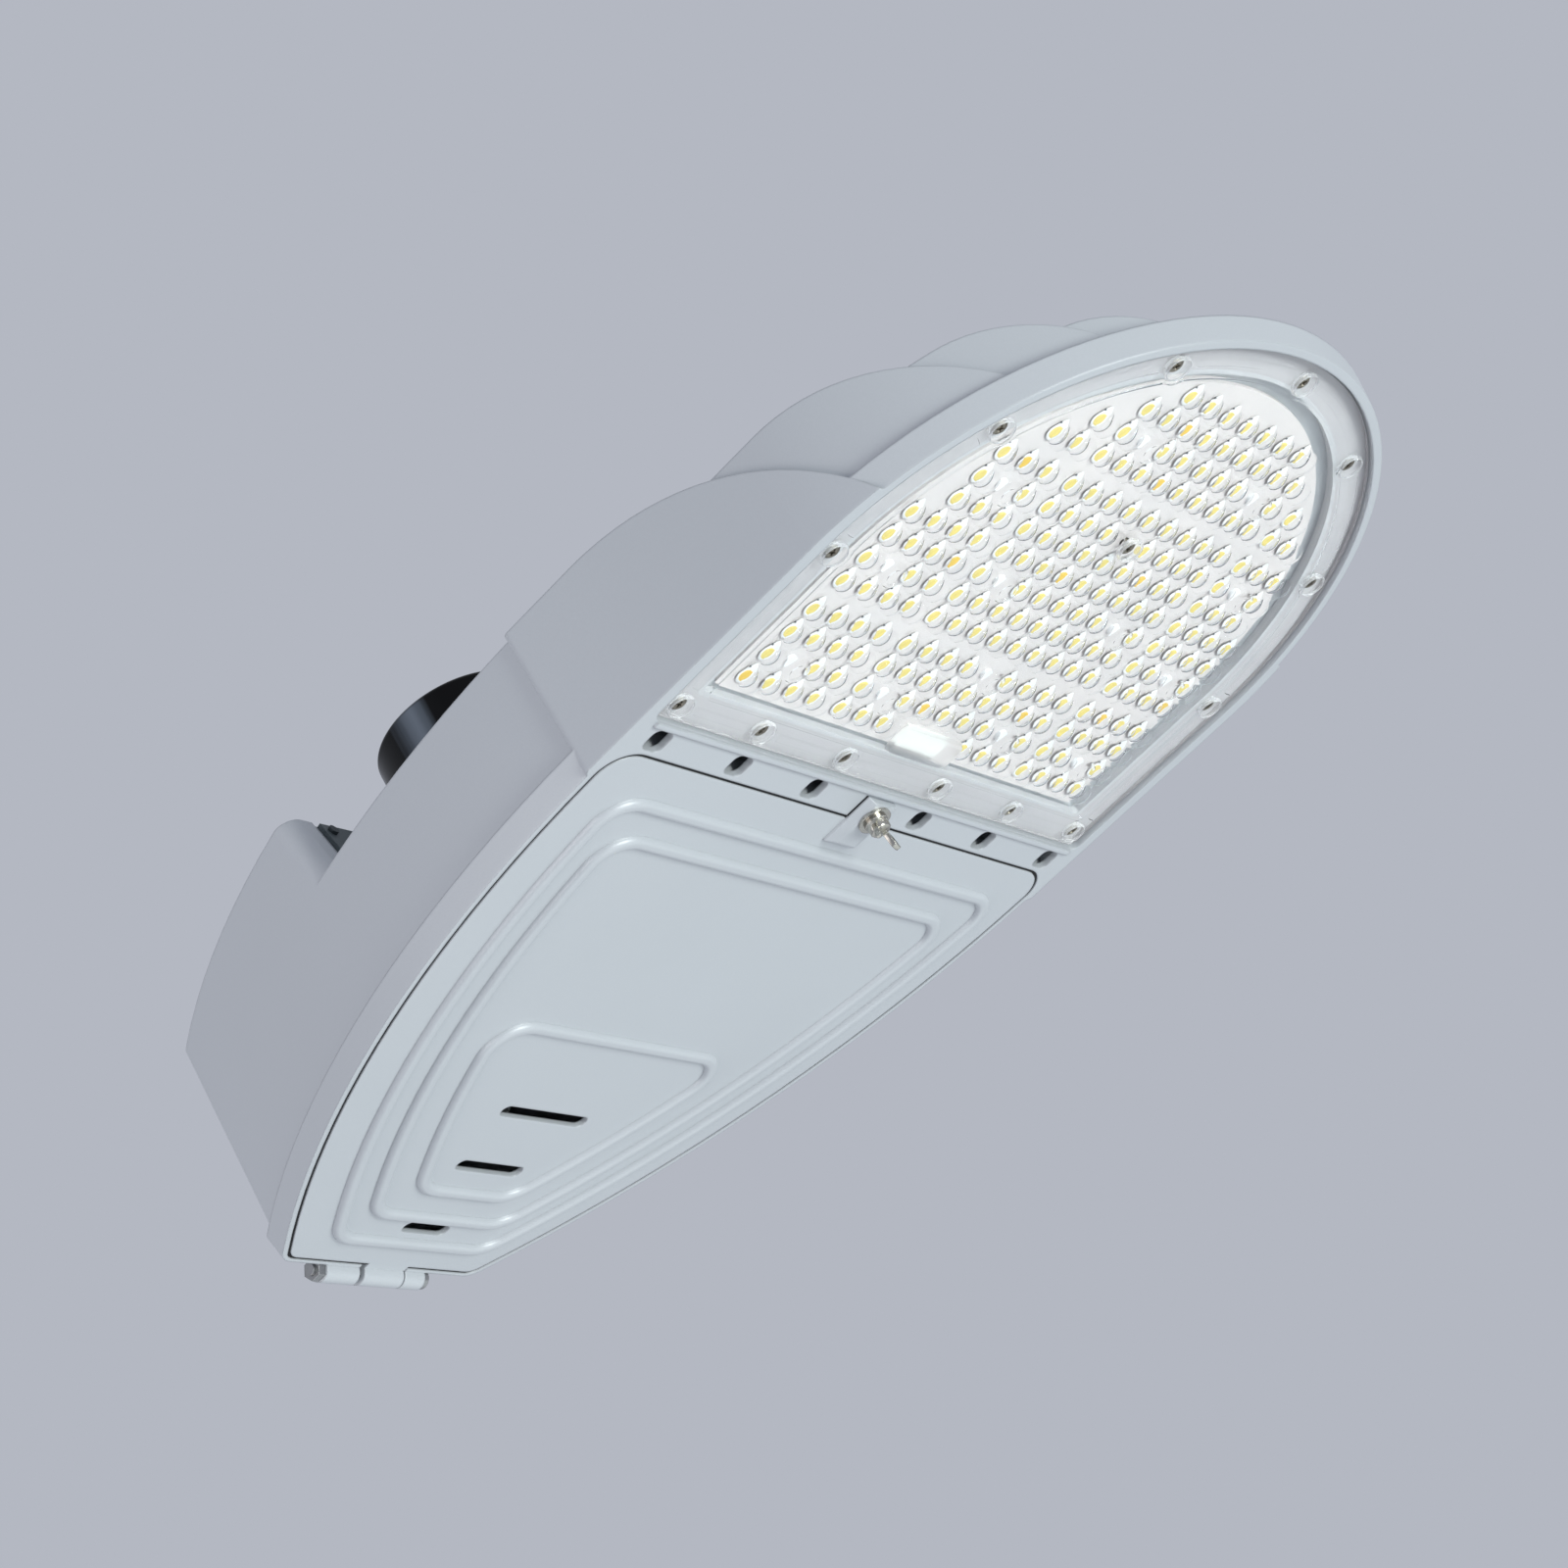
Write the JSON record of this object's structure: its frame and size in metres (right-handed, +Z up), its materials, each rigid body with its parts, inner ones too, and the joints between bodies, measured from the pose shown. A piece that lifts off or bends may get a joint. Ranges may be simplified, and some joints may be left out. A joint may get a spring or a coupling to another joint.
{
  "type": "led street light head",
  "caption": "LED street light head with a pole socket at the tail, a hinged bay door underneath, a domed lens plate and a twist-lock photocell on top.",
  "frame": {"origin": "centre of the pole socket's mouth", "axes": "+X from the socket to the tip of the head, +Y to the head's left seen from behind, +Z up"},
  "size_m": [0.5489, 0.302, 0.1792],
  "materials": {
    "cast_grey_paint": "satin powder coat on die-cast aluminium",
    "pale_silicone": "matte",
    "gasket_foam": "matte",
    "steel": "zinc plated",
    "stainless": "polished",
    "clear_lens": "clear moulded polycarbonate",
    "bare_aluminium": "as extruded",
    "white_board": "white solder mask",
    "led_phosphor": "yellow phosphor",
    "white_plastic": "matte",
    "black_gloss": "gloss",
    "black_matte": "matte",
    "brass": "plain",
    "rubber": "matte",
    "driver_case": "satin",
    "dark_plate": "satin dark grey"
  },
  "bodies": {
    "housing": {"board_screws": "steel", "cable_grommet": "rubber", "clamp_bolts": "steel", "driver_screws": "steel", "earth_screw": "brass", "heat_sink": "bare_aluminium", "hinge_nut": "steel", "hinge_pin": "steel", "housing": "cast_grey_paint", "lead_sleeve": "rubber", "led_board": "white_board", "led_connector": "white_plastic", "led_driver": "driver_case", "led_packages": "led_phosphor", "lens_gasket": "pale_silicone", "lens_plate": "clear_lens", "lens_screws": "stainless", "photocell_receptacle": "black_matte", "receptacle_gasket": "gasket_foam", "side_plate_left": "dark_plate", "side_plate_right": "dark_plate", "side_plate_screws": "steel", "surge_protector": "white_plastic", "terminal_base": "black_matte", "terminal_block": "white_plastic", "terminal_screws": "brass"},
    "door": {"door": "cast_grey_paint", "door_gasket": "gasket_foam"},
    "wing_washer": {"wing_washer": "stainless"},
    "wing_screw": {"wing_screw": "stainless"},
    "photocell": {"photocell_cap": "black_gloss", "photocell_base": "black_matte", "photocell_blades": "brass"}
  },
  "joints": [
    {"name": "door_hinge", "type": "hinge", "parent": "housing", "child": "door", "pos_m": [-0.006, 0, -0.056], "axis": [0, 1, 0], "range_deg": [0, 95]},
    {"name": "wing_travel", "type": "slide", "parent": "door", "child": "wing_washer", "axis": [0, 0, -1], "range_m": [0, 0.00601]},
    {"name": "wing_turn", "type": "hinge", "parent": "wing_washer", "child": "wing_screw", "pos_m": [0.2905, 0.004, -0.06], "axis": [0, 0, -1], "range_deg": [0, 2160]},
    {"name": "photocell_twist", "type": "hinge", "parent": "housing", "child": "photocell", "pos_m": [0.156, 0, 0.08], "axis": [0, 0, 1], "range_deg": [0, 30]}
  ],
  "couplings": [
    {"joint": "wing_travel", "follows": "wing_turn", "m_per_rad": 0.00015915}
  ]
}
